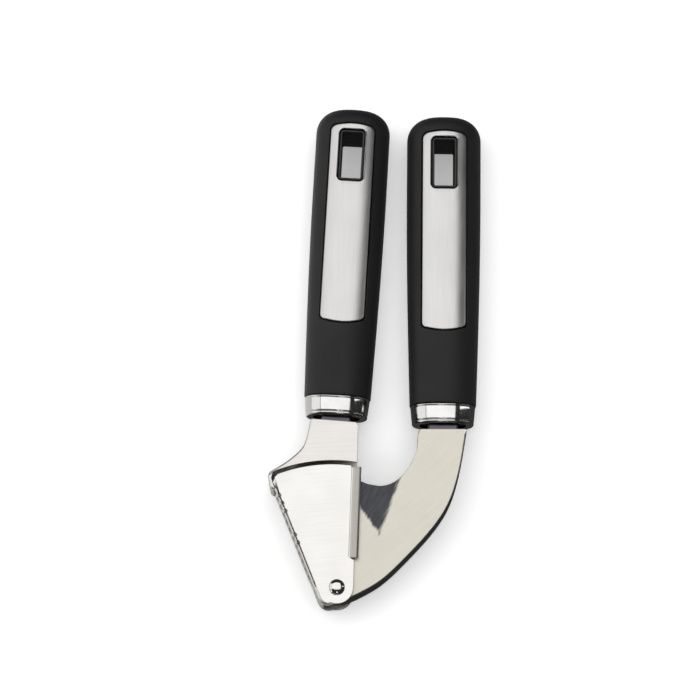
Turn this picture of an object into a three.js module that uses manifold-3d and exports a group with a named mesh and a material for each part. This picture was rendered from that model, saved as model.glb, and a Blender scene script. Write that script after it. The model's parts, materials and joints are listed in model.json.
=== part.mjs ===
// Garlic press with a swing-out hopper: two folded steel levers turn on one domed rivet, and each
// carries a soft-touch handle. Millimetres, +Z up. The press lies on its back: the handles point
// to +Y and the mouth of the hopper to +X. The origin ends up under the middle of the whole press.
import * as THREE from 'three';
import { mergeVertices } from 'three/addons/utils/BufferGeometryUtils.js';
import Module from 'manifold-3d';

const wasm = await Module();
wasm.setup();

// ---- driving dimensions -------------------------------------------------------------------
// Head places are measured from the pivot axis, with z = 0 in the middle of the press's depth.
const GAP = 0.3;
const REACH = 60;

const RIVET = { shank: 2.5, head: 3.1, dome: 1.3 };
const HOPPER = { depth: 10.4, sheet: 1.2, lug: 6.3, lugFrom: -112, bend: 0.1, gridBottom: 4 };
const HOPPER_END = { radius: 47.2, sheet: 1.1, from: 82.6, to: [46.5, -0.7] };
const CRADLE = { depth: 8.9, sheet: 1.4, lug: 6.2, railOut: 1, windowLow: 3.6, windowHigh: 44.6 };
const ARM = { depth: 7.2, sheet: 1.3, boss: 5.6, bossTo: -68, cheekBack: -5, backHigh: 44.6 };

// The sieve wall is a straight line in plan. It passes the pivot at `distance`, and `facing` is
// the direction that its outside faces.
const SIEVE = { distance: 7.26, facing: -158.3 };
const BULGE = { height: 1.5, half: 6.6, low: 6, high: 43.6, end: 0.8 };
const HOLES = { radius: 1, rows: 11, columns: 4, pitch: 3.3, first: 8.3, sides: 6, bendRadius: 0.75 };

// The mouths of the hopper and of the cradle are arcs about one centre.
const MOUTH = { x: -1.84, y: -11.7, hopper: 59.4, cradle: 61.2, from: 111.9, hopperTo: 83.2, cradleTo: 80.9 };
const LIP = { x: 4.5, y: 11.4, length: 35.2, lean: -2.1, out: 3.2, rise: 1.5, root: -0.7 };
const KNUCKLE = { x: -3.2, y: -2.4, radius: 4.4, webEnd: -118 };

const PLUNGER = { half: 8.8, face: -2.1, back: -4.7, low: 7, high: 45 };
const TONGUE = { half: 5.6, back: -11, low: 12, high: 40 };
const CROWN = { half: 6, height: 1.2, low: 8, high: 42 };
const PLUNGER_PIN = { radius: 1.5, depth: 7.1, out: -8, low: 17, high: 35, sides: 10 };
const SPACER = 4.2;

// Plan outlines in x, y, and in up, out of the sieve wall where their names end in RAIL or CORNER.
const HOPPER_MOUTH = [[6.6, 10.3], [5.1, 11.4], [6.2, 46.9]];
const CRADLE_NECK = [[8.2, 63.2], [7.4, 64.5], [-10.2, 65.9]];
const CRADLE_FLARE = [[-11, 62], [-12, 57.8], [-13.7, 54.3], [-17.2, 50.9], [-21.2, 48], [-26.1, 45.2]];
const CRADLE_CORNER = [[50.1, 1.5], [45.9, 2.3], [44.9, 1.9], [44.2, CRADLE.railOut]];
const CRADLE_RAIL = [[3.4, -1.2], [3.4, 0.2], [44.6, 0.2], [45, 0.7], [49, 0.5]];
const NECK_HOLLOW = [[-9.6, 61.8], [-10.7, 57.3], [-12.6, 53.5], [-16.3, 49.8], [-18.8, 48.2]];
const ARM_OUTER = [[9.1, -2.05], [16.8, 2.5], [24.5, 9.4], [36.2, 22], [43.2, 32.5], [47.4, 45], [50.3, 61.2]];
const ARM_INNER = [[30.9, 54], [28.7, 48.7], [25.9, 44.5], [21.9, 41.2], [17.2, 39.8], [11.9, 40.5]];
const ARM_HOLLOW = [[8.6, -0.85], [16, 3.6], [23.5, 10.3], [35.1, 22.7], [42, 33], [46.1, 45.3], [49, 61.4]];

// Handle places are measured from the middle of the ferrule's lower rim, with +Y up the handle.
const LEFT_HANDLE = { x: -0.25, y: 68.5, lean: 3.3 };
const RIGHT_HANDLE = { x: 41.2, y: 65.3, lean: 0.6 };
const GRIP = { low: 6.9, high: 122.7, neckWidth: 13, width: 14.6, neckThick: 10.3, thick: 11.4, full: 92 };
const GRIP_END = { width: 8.5, thick: 5 };
const WALL = 2.2;
const SEAT = 8.3;
const COLLAR = { low: 2.8, high: 8, ease: 0.2, taper: 0.8 };
const FERRULE = { foot: -0.9, height: 6.6, low: [12.1, 9.7], high: [12.7, 10.2], wall: 1 };
const INLAY = { half: 8.65, low: 35.4, high: 115.8, corner: 3.4, proud: 0.2 };
const EYE = { middle: 102.8, halfWidth: 5.15, halfLength: 10.5, corner: 1.8, wall: 0.9, depth: 10.8 };
const TANG = { half: 5.9, thick: 2, low: -11, high: 75, rootHalf: 5.9, rootHigh: -3.2 };
const SCREW = { head: 3, shank: 1.4, neck: 6.2, top: 8, tip: -5.2, at: 58, sides: 12 };

// ---- finishes -------------------------------------------------------------------------------
function finish(color, roughness, metalness) {
  return new THREE.MeshStandardMaterial({ color, roughness, metalness });
}

const satinSteel = finish('#d9d6d1', 0.32, 1);
const brushedSteel = finish('#d2d1cf', 0.4, 1);
const polishedSteel = finish('#e2e2e1', 0.08, 1);
const tangSteel = finish('#8c8b89', 0.45, 1);
const softBlack = finish('#232325', 0.75, 0);
const hardBlack = finish('#18181a', 0.45, 0);

// ---- solids ---------------------------------------------------------------------------------
function solid(geometry) {
  const bare = geometry.clone();
  bare.deleteAttribute('normal');
  bare.deleteAttribute('uv');
  const merged = mergeVertices(bare, 1e-4);
  const vertProperties = Float32Array.from(merged.attributes.position.array);
  const triVerts = Uint32Array.from(merged.index.array);
  return new wasm.Manifold(new wasm.Mesh({ numProp: 3, vertProperties, triVerts }));
}

function meshOf(name, body, material) {
  const mesh = body.getMesh();
  const geometry = new THREE.BufferGeometry();
  geometry.setAttribute('position', new THREE.Float32BufferAttribute(mesh.vertProperties, 3));
  geometry.setIndex(Array.from(mesh.triVerts));
  geometry.computeVertexNormals();
  const result = new THREE.Mesh(geometry, material);
  result.name = name;
  return result;
}

function slab(shape, low, high, curveSegments = 5) {
  const depth = high - low;
  const geometry = new THREE.ExtrudeGeometry(shape, { depth, bevelEnabled: false, curveSegments });
  geometry.translate(0, 0, low);
  return solid(geometry);
}

function post(radius, low, high, x = 0, y = 0, sides = 16) {
  const geometry = new THREE.CylinderGeometry(radius, radius, high - low, sides);
  geometry.rotateX(Math.PI / 2);
  geometry.translate(x, y, (high + low) / 2);
  return solid(geometry);
}

function box(lowX, highX, lowY, highY, halfZ) {
  const geometry = new THREE.BoxGeometry(highX - lowX, highY - lowY, 2 * halfZ);
  geometry.translate((lowX + highX) / 2, (lowY + highY) / 2, 0);
  return solid(geometry);
}

function vectors(points) {
  return points.map(([x, y]) => new THREE.Vector2(x, y));
}

function polygon(points) {
  return new THREE.Shape(vectors(points));
}

function lineThrough(shape, points) {
  for (const { x, y } of points) {
    shape.lineTo(x, y);
  }
}

function radians(degrees) {
  return THREE.MathUtils.degToRad(degrees);
}

// ---- the sieve wall's own directions --------------------------------------------------------
const outward = new THREE.Vector2(Math.cos(radians(SIEVE.facing)), Math.sin(radians(SIEVE.facing)));
const along = new THREE.Vector2(outward.y, -outward.x);

// A plan point `up` along the sieve wall and `out` from its outer face's line.
function sievePoint(up, out) {
  return new THREE.Vector2()
    .addScaledVector(outward, SIEVE.distance + out)
    .addScaledVector(along, up);
}

// An outline in (-z, out), swept along the sieve wall from `low` to `high`.
function sieveSweep(points, low, high) {
  const geometry = new THREE.ExtrudeGeometry(polygon(points), { depth: high - low, bevelEnabled: false });
  const start = sievePoint(low, 0);
  const place = new THREE.Matrix4().makeBasis(
    new THREE.Vector3(0, 0, -1),
    new THREE.Vector3(outward.x, outward.y, 0),
    new THREE.Vector3(along.x, along.y, 0),
  );
  place.setPosition(start.x, start.y, 0);
  return solid(geometry.applyMatrix4(place));
}

function sievePoints(points) {
  return points.map(([up, out]) => sievePoint(up, out));
}

// The outer face of the sieve wall, bulged through the cradle's window, at depth z.
function bulgeAt(z) {
  return BULGE.height * Math.max(0, 1 - (z / BULGE.half) ** 2) - HOPPER.bend;
}

function crowned(half, steps, height) {
  const points = [];
  for (let i = 0; i <= steps; i += 1) {
    const z = half - (2 * half * i) / steps;
    points.push([z, height(z)]);
  }
  return points;
}

// ---- head pieces ------------------------------------------------------------------------------
function hopperPlate() {
  const shape = new THREE.Shape();
  const foot = sievePoint(-1.2, 0);
  const corner = sievePoint(-4.6, -0.1);
  const lugFrom = radians(HOPPER.lugFrom);
  shape.moveTo(foot.x, foot.y);
  shape.quadraticCurveTo(corner.x, corner.y, HOPPER.lug * Math.cos(lugFrom), HOPPER.lug * Math.sin(lugFrom));
  shape.absarc(0, 0, HOPPER.lug, lugFrom, 0);
  lineThrough(shape, vectors(HOPPER_MOUTH));
  shape.absarc(MOUTH.x, MOUTH.y, MOUTH.hopper, radians(MOUTH.hopperTo), radians(MOUTH.from));
  lineThrough(shape, sievePoints([[48.4, -0.6], [41, 0]]));
  shape.closePath();
  return shape;
}

// A lip flares away from the hopper's side plate and leads the press arm in.
function hopperLip(side) {
  const low = HOPPER.depth - HOPPER.sheet;
  const section = [
    [LIP.root, low],
    [0.1, low],
    [LIP.out + 0.5, low + LIP.rise + 0.1],
    [LIP.out, HOPPER.depth + LIP.rise],
    [0, HOPPER.depth],
    [LIP.root, HOPPER.depth],
  ];
  const shape = polygon(section.map(([x, z]) => [x, side * z]));
  const geometry = new THREE.ExtrudeGeometry(shape, { depth: LIP.length, bevelEnabled: false });
  geometry.rotateX(Math.PI / 2);
  geometry.translate(0, LIP.length, 0);
  geometry.rotateZ(radians(LIP.lean));
  geometry.translate(LIP.x, LIP.y, 0);
  return solid(geometry);
}

// The wall that closes the hopper's far end, an arc about the pivot.
function hopperEndWall() {
  const shape = new THREE.Shape();
  const [up, out] = HOPPER_END.to;
  const start = radians(HOPPER_END.from);
  const end = sievePoint(up, out).angle();
  shape.absarc(0, 0, HOPPER_END.radius, start, end);
  shape.absarc(0, 0, HOPPER_END.radius - HOPPER_END.sheet, end, start, true);
  const inner = HOPPER.depth - HOPPER.sheet;
  return slab(shape, -inner - GAP, inner + GAP, 8);
}

function sieveHoles() {
  let holes = null;
  const middle = (HOLES.columns - 1) / 2;
  for (let row = 0; row < HOLES.rows; row += 1) {
    for (let column = 0; column < HOLES.columns; column += 1) {
      const geometry = new THREE.CylinderGeometry(HOLES.radius, HOLES.radius, 6, HOLES.sides);
      geometry.rotateZ(radians(SIEVE.facing - 90));
      const place = sievePoint(HOLES.first + row * HOLES.pitch, 0);
      geometry.translate(place.x, place.y, (column - middle) * HOLES.pitch);
      holes = holes ? holes.add(solid(geometry)) : solid(geometry);
    }
  }
  return holes;
}

// The rows of holes in the two bends between the sieve wall and the side plates.
function bendHoles(side) {
  const outward = new THREE.Vector3(Math.cos(radians(SIEVE.facing)), Math.sin(radians(SIEVE.facing)), side);
  const turn = new THREE.Quaternion().setFromUnitVectors(new THREE.Vector3(0, 1, 0), outward.normalize());
  let holes = null;
  for (let row = 0; row < HOLES.rows; row += 1) {
    const geometry = new THREE.CylinderGeometry(HOLES.bendRadius, HOLES.bendRadius, 4, HOLES.sides);
    geometry.applyQuaternion(turn);
    const place = sievePoint(HOLES.first + row * HOLES.pitch, -0.3);
    geometry.translate(place.x, place.y, side * (HOPPER.depth - 0.3));
    holes = holes ? holes.add(solid(geometry)) : solid(geometry);
  }
  return holes;
}

function swingOutHopper() {
  const inner = HOPPER.depth - HOPPER.sheet;
  const top = Math.sqrt((HOPPER_END.radius - 0.2) ** 2 - SIEVE.distance ** 2);
  const flat = [
    [inner + GAP, -HOPPER.bend],
    [-inner - GAP, -HOPPER.bend],
    [-inner - GAP, -HOPPER.bend - HOPPER.sheet],
    [inner + GAP, -HOPPER.bend - HOPPER.sheet],
  ];
  const outer = crowned(BULGE.half, HOLES.columns, bulgeAt);
  const inside = crowned(BULGE.half, HOLES.columns, (z) => bulgeAt(z) - HOPPER.sheet).reverse();
  const solidBulge = [...outer, [-BULGE.half, -HOPPER.bend - 0.5], [BULGE.half, -HOPPER.bend - 0.5]];
  const hollow = [...inside, [BULGE.half, -4], [-BULGE.half, -4]];
  const plate = hopperPlate();
  return slab(plate, inner, HOPPER.depth)
    .add(slab(plate, -HOPPER.depth, -inner))
    .add(sieveSweep(flat, HOPPER.gridBottom, top))
    .add(sieveSweep(solidBulge, BULGE.low, BULGE.high))
    .subtract(sieveSweep(hollow, BULGE.low + BULGE.end, BULGE.high - BULGE.end))
    .add(hopperEndWall())
    .add(hopperLip(1))
    .add(hopperLip(-1))
    .subtract(sieveHoles())
    .subtract(bendHoles(1))
    .subtract(bendHoles(-1))
    .subtract(post(RIVET.shank + GAP, -REACH, REACH));
}

function cradleOutline() {
  const shape = polygon(CRADLE_NECK);
  shape.splineThru(vectors(CRADLE_FLARE));
  lineThrough(shape, sievePoints(CRADLE_CORNER));
  shape.absarc(KNUCKLE.x, KNUCKLE.y, KNUCKLE.radius, radians(SIEVE.facing), radians(-85));
  shape.absarc(0, 0, CRADLE.lug, radians(-52), radians(168));
  lineThrough(shape, sievePoints(CRADLE_RAIL));
  shape.absarc(MOUTH.x, MOUTH.y, MOUTH.cradle, radians(MOUTH.from), radians(MOUTH.cradleTo), true);
  shape.closePath();
  return shape;
}

// The hollow of the folded neck: open to the right and to the hopper, walled on the left.
function neckHollow() {
  const shape = new THREE.Shape();
  shape.moveTo(-8, 70);
  shape.splineThru(vectors(NECK_HOLLOW));
  lineThrough(shape, vectors([[-17, 44], [14, 44], [14, 70]]));
  shape.closePath();
  return shape;
}

// The hollow between the two pivot lugs: walled by the knuckle's web only.
function lugHollow() {
  const shape = new THREE.Shape();
  const webEnd = radians(KNUCKLE.webEnd);
  const webIn = CRADLE.railOut - CRADLE.sheet;
  const start = sievePoint(8, webIn);
  const low = sievePoint(0, webIn);
  shape.moveTo(start.x, start.y);
  shape.lineTo(low.x, low.y);
  shape.absarc(KNUCKLE.x, KNUCKLE.y, KNUCKLE.radius - CRADLE.sheet, radians(SIEVE.facing), webEnd);
  shape.lineTo(KNUCKLE.x + 9 * Math.cos(webEnd), KNUCKLE.y + 9 * Math.sin(webEnd));
  shape.lineTo(14, -14);
  shape.lineTo(14, 14);
  shape.closePath();
  return shape;
}

function cradleLever() {
  const inner = CRADLE.depth - CRADLE.sheet;
  const windowHalf = CRADLE.depth - 2;
  const window = [[-windowHalf, -2], [windowHalf, -2], [windowHalf, 3], [-windowHalf, 3]];
  return slab(cradleOutline(), -CRADLE.depth, CRADLE.depth)
    .subtract(slab(neckHollow(), -inner, inner))
    .subtract(slab(lugHollow(), -inner, inner))
    .subtract(sieveSweep(window, CRADLE.windowLow, CRADLE.windowHigh))
    .subtract(post(RIVET.shank + GAP, -REACH, REACH));
}

// The arm's back edge runs parallel to the sieve wall, from the boss to the hopper's end wall.
function armOutline() {
  const shape = new THREE.Shape();
  const backLow = Math.sqrt(ARM.boss ** 2 - (SIEVE.distance + ARM.cheekBack) ** 2);
  const backHigh = sievePoint(ARM.backHigh, ARM.cheekBack);
  shape.absarc(0, 0, ARM.boss, sievePoint(backLow, ARM.cheekBack).angle(), radians(ARM.bossTo));
  shape.splineThru(vectors(ARM_OUTER));
  shape.quadraticCurveTo(50.4, 62.1, 49.5, 62.1);
  shape.lineTo(33, 62.1);
  shape.quadraticCurveTo(31.6, 62.1, 31.5, 60.5);
  shape.splineThru(vectors(ARM_INNER));
  shape.lineTo(3, 44.2);
  shape.lineTo(backHigh.x, backHigh.y);
  shape.closePath();
  return shape;
}

// The hollow of the folded arm: walled along its outer edge only.
function armHollow() {
  const shape = new THREE.Shape();
  shape.moveTo(-9, -9);
  lineThrough(shape, vectors([[1.6, -9], [2.6, -3.85]]));
  shape.splineThru(vectors(ARM_HOLLOW));
  lineThrough(shape, vectors([[49.6, 70], [-30, 70], [-30, -9]]));
  shape.closePath();
  return shape;
}

function pressArm() {
  const inner = ARM.depth - ARM.sheet;
  return slab(armOutline(), -ARM.depth, ARM.depth)
    .subtract(slab(armHollow(), -inner, inner))
    .subtract(post(RIVET.shank + GAP, -REACH, REACH))
    .subtract(plungerPin(PLUNGER_PIN.low, GAP))
    .subtract(plungerPin(PLUNGER_PIN.high, GAP));
}

// The plunger's face is crowned, so it follows the bulge of the sieve wall.
function plunger() {
  const { half, face, back } = PLUNGER;
  const plate = [[half, face], [-half, face], [-half, back], [half, back]];
  const crown = crowned(CROWN.half, 4, (z) => face + CROWN.height * (1 - (z / CROWN.half) ** 2));
  crown.push([-CROWN.half, face - 1], [CROWN.half, face - 1]);
  const front = back + 1;
  const tongue = [[TONGUE.half, front], [-TONGUE.half, front]];
  tongue.push([-TONGUE.half, TONGUE.back], [TONGUE.half, TONGUE.back]);
  return sieveSweep(plate, PLUNGER.low, PLUNGER.high)
    .add(sieveSweep(crown, CROWN.low, CROWN.high))
    .add(sieveSweep(tongue, TONGUE.low, TONGUE.high))
    .subtract(plungerPin(PLUNGER_PIN.low, GAP))
    .subtract(plungerPin(PLUNGER_PIN.high, GAP));
}

// A cross pin, or with `grow` the hole that it passes through.
function plungerPin(up, grow = 0) {
  const place = sievePoint(up, PLUNGER_PIN.out);
  const half = grow > 0 ? REACH : PLUNGER_PIN.depth;
  return post(PLUNGER_PIN.radius + grow, -half, half, place.x, place.y, PLUNGER_PIN.sides);
}

function pivotRivet() {
  const under = HOPPER.depth + GAP;
  const half = [
    [0, under + RIVET.dome],
    [1.3, under + 0.85 * RIVET.dome],
    [2.4, under + 0.5 * RIVET.dome],
    [RIVET.head, under],
    [RIVET.shank, under],
  ];
  const mirrored = half.map(([r, z]) => [r, -z]).reverse();
  const profile = vectors([...half, ...mirrored]).reverse();
  return solid(new THREE.LatheGeometry(profile, 16).rotateX(Math.PI / 2));
}

function pivotSpacer() {
  const half = ARM.depth - ARM.sheet - GAP;
  return post(SPACER, -half, half).subtract(post(RIVET.shank + GAP, -REACH, REACH));
}

// ---- handle pieces, in the handle's own frame -------------------------------------------------

// A body of oval sections: each station gives the height, the half width and the half thickness.
function loft(stations, sides = 24, fullness = 2.5) {
  const levels = stations.length - 1;
  const geometry = new THREE.CylinderGeometry(1, 1, 1, sides, levels);
  const place = geometry.attributes.position;
  for (let i = 0; i < place.count; i += 1) {
    const x = place.getX(i);
    const z = place.getZ(i);
    const [height, width, thick] = stations[Math.round((place.getY(i) + 0.5) * levels)];
    const spread = Math.abs(x) ** fullness + Math.abs(z) ** fullness;
    const reach = spread > 1e-9 ? spread ** (-1 / fullness) : 0;
    place.setXYZ(i, width * x * reach, height, thick * z * reach);
  }
  return solid(geometry);
}

// The grip swells from the ferrule to full size and ends in a rounded top.
function gripStation(height, inset, top) {
  const swell = Math.sin((Math.PI / 2) * Math.min(1, (height - GRIP.low) / (GRIP.full - GRIP.low)));
  const drop = (round) => {
    const over = Math.max(0, height - (top - round));
    return round - Math.sqrt(Math.max(0, round ** 2 - over ** 2));
  };
  const width = GRIP.neckWidth + (GRIP.width - GRIP.neckWidth) * swell;
  const thick = GRIP.neckThick + (GRIP.thick - GRIP.neckThick) * swell;
  return [height, width - inset - drop(GRIP_END.width - inset), thick - inset - drop(GRIP_END.thick)];
}

function gripBody(low, inset, top) {
  const heights = [low, 26, 48, 70, 94];
  const round = GRIP_END.width - inset;
  for (let i = 0; i <= 4; i += 1) {
    heights.push(top - round + round * Math.sin(radians(19 * i)));
  }
  return loft(heights.map((height) => gripStation(height, inset, top)));
}

function inlayShape(margin) {
  const half = INLAY.half + margin;
  const low = INLAY.low - margin;
  const high = INLAY.high + margin;
  const shape = new THREE.Shape();
  shape.moveTo(-half, low + 3.2);
  shape.quadraticCurveTo(-half, low + 1.5, -half + 1.9, low + 1);
  shape.quadraticCurveTo(0, low - 0.9, half - 1.9, low + 1);
  shape.quadraticCurveTo(half, low + 1.5, half, low + 3.2);
  shape.lineTo(half, high - INLAY.corner);
  shape.quadraticCurveTo(half, high - 0.9, half - INLAY.corner, high - 0.5);
  shape.quadraticCurveTo(0, high + 0.5, INLAY.corner - half, high - 0.5);
  shape.quadraticCurveTo(-half, high - 0.9, -half, high - INLAY.corner);
  shape.closePath();
  return shape;
}

function eyeShape(inset) {
  const x = EYE.halfWidth - inset;
  const y = EYE.halfLength - inset;
  const r = Math.max(0.6, EYE.corner - inset);
  const shape = new THREE.Shape();
  shape.absarc(x - r, EYE.middle - y + r, r, -Math.PI / 2, 0);
  shape.absarc(x - r, EYE.middle + y - r, r, 0, Math.PI / 2);
  shape.absarc(r - x, EYE.middle + y - r, r, Math.PI / 2, Math.PI);
  shape.absarc(r - x, EYE.middle - y + r, r, Math.PI, 1.5 * Math.PI);
  shape.closePath();
  return shape;
}

function ferruleStation(height, inset) {
  const share = height / FERRULE.height;
  const [lowWidth, lowThick] = FERRULE.low;
  const [highWidth, highThick] = FERRULE.high;
  return [
    height,
    lowWidth + (highWidth - lowWidth) * share - inset,
    lowThick + (highThick - lowThick) * share - inset,
  ];
}

function ferrule() {
  const { foot, height, wall } = FERRULE;
  const outer = loft([ferruleStation(foot, 0.5), ferruleStation(foot + 0.5, 0), ferruleStation(height, 0)]);
  return outer.subtract(loft([ferruleStation(foot - 1, wall), ferruleStation(height + 1, wall)]));
}

function tangSlot() {
  return box(-TANG.half - GAP, TANG.half + GAP, -1, TANG.high + GAP, TANG.thick + GAP);
}

function ferrulePlug() {
  const inset = FERRULE.wall + GAP;
  return loft([ferruleStation(0, inset), ferruleStation(2.5, inset)]).subtract(tangSlot());
}

function handleCore() {
  const inset = FERRULE.wall + GAP + COLLAR.ease;
  const collar = loft([ferruleStation(COLLAR.low, inset), ferruleStation(COLLAR.high, inset + COLLAR.taper)]);
  return gripBody(GRIP.low + 0.3, WALL + GAP, GRIP.high - WALL - GAP)
    .intersect(box(-20, 20, 0, 130, SEAT))
    .add(collar)
    .subtract(tangSlot())
    .subtract(slab(eyeShape(0), -REACH, REACH, 2))
    .subtract(screwBody(GAP));
}

function gripSleeve() {
  const cavity = gripBody(GRIP.low - 1, WALL, GRIP.high - WALL).intersect(box(-20, 20, 0, 130, SEAT + GAP));
  const window = slab(inlayShape(GAP), 0, REACH, 3).add(slab(inlayShape(GAP), -REACH, -0.1, 3));
  return gripBody(GRIP.low, 0, GRIP.high).subtract(cavity).subtract(window);
}

function inlay(side) {
  const seat = SEAT + GAP;
  const [low, high] = side > 0 ? [seat, REACH] : [-REACH, -seat];
  return gripBody(GRIP.low, -INLAY.proud, GRIP.high)
    .intersect(slab(inlayShape(0), low, high, 3))
    .subtract(slab(eyeShape(0), -REACH, REACH, 2));
}

function hangEyelet() {
  return slab(eyeShape(GAP), -EYE.depth, EYE.depth, 2)
    .subtract(slab(eyeShape(GAP + EYE.wall), -REACH, REACH, 2));
}

function tang() {
  const root = box(-TANG.rootHalf, TANG.rootHalf, TANG.low, TANG.rootHigh, ARM.depth - ARM.sheet - GAP);
  return box(-TANG.half, TANG.half, TANG.low, TANG.high, TANG.thick)
    .add(root)
    .subtract(post(SCREW.shank + GAP, -REACH, REACH, 0, SCREW.at, 10));
}

// The countersunk screw, or with `grow` the hole that it passes through.
function screwBody(grow) {
  const head = SCREW.head + grow;
  const shank = SCREW.shank + grow;
  const tip = SCREW.tip - grow;
  const top = SCREW.top + (grow > 0 ? 1 : 0);
  const profile = [[0, tip], [shank, tip], [shank, SCREW.neck - grow]];
  profile.push([head, SCREW.top - grow / 2], [head, top], [0, top]);
  const geometry = new THREE.LatheGeometry(vectors(profile), SCREW.sides);
  geometry.rotateX(Math.PI / 2);
  geometry.translate(0, SCREW.at, 0);
  return solid(geometry);
}

function handle(name, place) {
  const group = new THREE.Group();
  group.add(
    meshOf(`${name}_tang`, tang(), tangSteel),
    meshOf(`${name}_ferrule`, ferrule(), polishedSteel),
    meshOf(`${name}_ferrule_plug`, ferrulePlug(), hardBlack),
    meshOf(`${name}_handle_core`, handleCore(), hardBlack),
    meshOf(`${name}_grip_sleeve`, gripSleeve(), softBlack),
    meshOf(`${name}_front_inlay`, inlay(1), brushedSteel),
    meshOf(`${name}_back_inlay`, inlay(-1), brushedSteel),
    meshOf(`${name}_hang_eyelet`, hangEyelet(), hardBlack),
    meshOf(`${name}_handle_screw`, screwBody(0), tangSteel),
  );
  group.position.set(place.x, place.y, 0);
  group.rotation.z = -radians(place.lean);
  return group;
}

// ---- assembly -----------------------------------------------------------------------------------
const head = new THREE.Group();
head.add(
  meshOf('cradle_lever', cradleLever(), satinSteel),
  meshOf('swing_out_hopper', swingOutHopper(), satinSteel),
  meshOf('press_arm', pressArm(), satinSteel),
  meshOf('plunger', plunger(), brushedSteel),
  meshOf('upper_plunger_pin', plungerPin(PLUNGER_PIN.high), tangSteel),
  meshOf('lower_plunger_pin', plungerPin(PLUNGER_PIN.low), tangSteel),
  meshOf('pivot_rivet', pivotRivet(), polishedSteel),
  meshOf('pivot_spacer', pivotSpacer(), tangSteel),
);

const press = new THREE.Group();
press.add(head, handle('left', LEFT_HANDLE), handle('right', RIGHT_HANDLE));
press.updateMatrixWorld(true);
const bounds = new THREE.Box3().setFromObject(press, true);
const centre = bounds.getCenter(new THREE.Vector3());
press.position.set(-centre.x, -centre.y, -bounds.min.z);

export default press;
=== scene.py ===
import json
import math

import bmesh
import bpy
from mathutils import Matrix, Vector


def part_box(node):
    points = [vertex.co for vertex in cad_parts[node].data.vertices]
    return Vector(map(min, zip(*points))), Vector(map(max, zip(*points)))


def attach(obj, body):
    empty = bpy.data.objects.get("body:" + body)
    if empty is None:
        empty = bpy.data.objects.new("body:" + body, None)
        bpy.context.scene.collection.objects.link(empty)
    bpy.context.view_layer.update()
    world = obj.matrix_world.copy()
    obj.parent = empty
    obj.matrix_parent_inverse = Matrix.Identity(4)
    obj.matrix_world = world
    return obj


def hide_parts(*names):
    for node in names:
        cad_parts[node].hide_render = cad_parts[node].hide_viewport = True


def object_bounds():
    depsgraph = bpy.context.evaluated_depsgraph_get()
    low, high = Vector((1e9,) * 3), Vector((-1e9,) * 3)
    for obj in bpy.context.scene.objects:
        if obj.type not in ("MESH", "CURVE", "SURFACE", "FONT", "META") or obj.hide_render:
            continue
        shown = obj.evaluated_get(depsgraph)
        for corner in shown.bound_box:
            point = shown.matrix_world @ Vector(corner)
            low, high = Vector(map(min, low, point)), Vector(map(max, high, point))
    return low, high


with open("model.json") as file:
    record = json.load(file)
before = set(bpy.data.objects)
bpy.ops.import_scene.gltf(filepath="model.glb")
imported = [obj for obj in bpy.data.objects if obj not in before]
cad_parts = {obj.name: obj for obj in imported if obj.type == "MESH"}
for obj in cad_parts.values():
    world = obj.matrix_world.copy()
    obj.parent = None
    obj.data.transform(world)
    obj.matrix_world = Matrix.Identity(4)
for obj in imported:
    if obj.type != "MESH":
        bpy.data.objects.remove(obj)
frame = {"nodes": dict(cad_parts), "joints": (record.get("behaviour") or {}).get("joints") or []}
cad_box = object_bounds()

# The camera looks down on the press as it lies on its back, tilted a little from straight above.
# Its long lens keeps the perspective flat, as in a catalogue picture.
MM = 0.001
CAMERA_TILT = math.radians(78)
CAMERA_DISTANCE = 1.2
CAMERA_LENS = 157.4
look_at = (cad_box[0] + cad_box[1]) / 2 + Vector((-10.12, 2.69, 0)) * MM
camera = bpy.data.objects.new("camera", bpy.data.cameras.new("camera"))
bpy.context.scene.collection.objects.link(camera)
camera.data.lens = CAMERA_LENS
camera_way = Vector((0, -math.cos(CAMERA_TILT), math.sin(CAMERA_TILT)))
camera.location = look_at + camera_way * CAMERA_DISTANCE
camera.rotation_euler = camera_way.to_track_quat("Z", "Y").to_euler()
bpy.context.scene.camera = camera
bpy.context.scene.view_settings.view_transform = "Standard"


def linear(code):
    """An sRGB hex colour as linear red, green, blue and alpha."""
    parts = [int(code[i:i + 2], 16) / 255 for i in (1, 3, 5)]
    return [p / 12.92 if p <= 0.04045 else ((p + 0.055) / 1.055) ** 2.4 for p in parts] + [1]


def add(tree, kind, links=None, **settings):
    """Adds a node with its settings. links gives each input a value or another node's output."""
    made = tree.nodes.new(kind)
    for name, value in settings.items():
        setattr(made, name, value)
    for socket, source in (links or {}).items():
        if isinstance(source, bpy.types.NodeSocket):
            tree.links.new(source, made.inputs[socket])
        else:
            made.inputs[socket].default_value = source
    return made


# The floor is a back-lit white sweep. To glossy rays it is painted instead, as an emission: it paints the
# steel's reflections dark, as black boards round a table-top set would, and bright along the sieve and left
# of the handles, a painted white card.
FLOOR_SIDE = 6
CARD_FACING = (-0.929, -0.37, 0)
CARD_FROM, CARD_FULL = 54 * MM, 60 * MM
LEFT_OF_HANDLES, HANDLE_CARD_HALF = -49 * MM, 20 * MM
HANDLE_CARD_LOW = -36 * MM
MIRRORED_BOARD, MIRRORED_CARD = 0.05, 0.75
floor_bm = bmesh.new()
bmesh.ops.create_grid(floor_bm, x_segments=1, y_segments=1, size=FLOOR_SIDE / 2)
bmesh.ops.translate(floor_bm, verts=floor_bm.verts, vec=(0, 0, cad_box[0].z - 0.2 * MM))
floor_mesh = bpy.data.meshes.new("floor")
floor_bm.to_mesh(floor_mesh)
floor = bpy.data.objects.new("floor", floor_mesh)
bpy.context.scene.collection.objects.link(floor)
floor_paint = bpy.data.materials.new("back_lit_white_sweep")
floor_paint.use_nodes = True
tree = floor_paint.node_tree
tree.nodes.clear()
place = add(tree, "ShaderNodeTexCoord")
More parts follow.
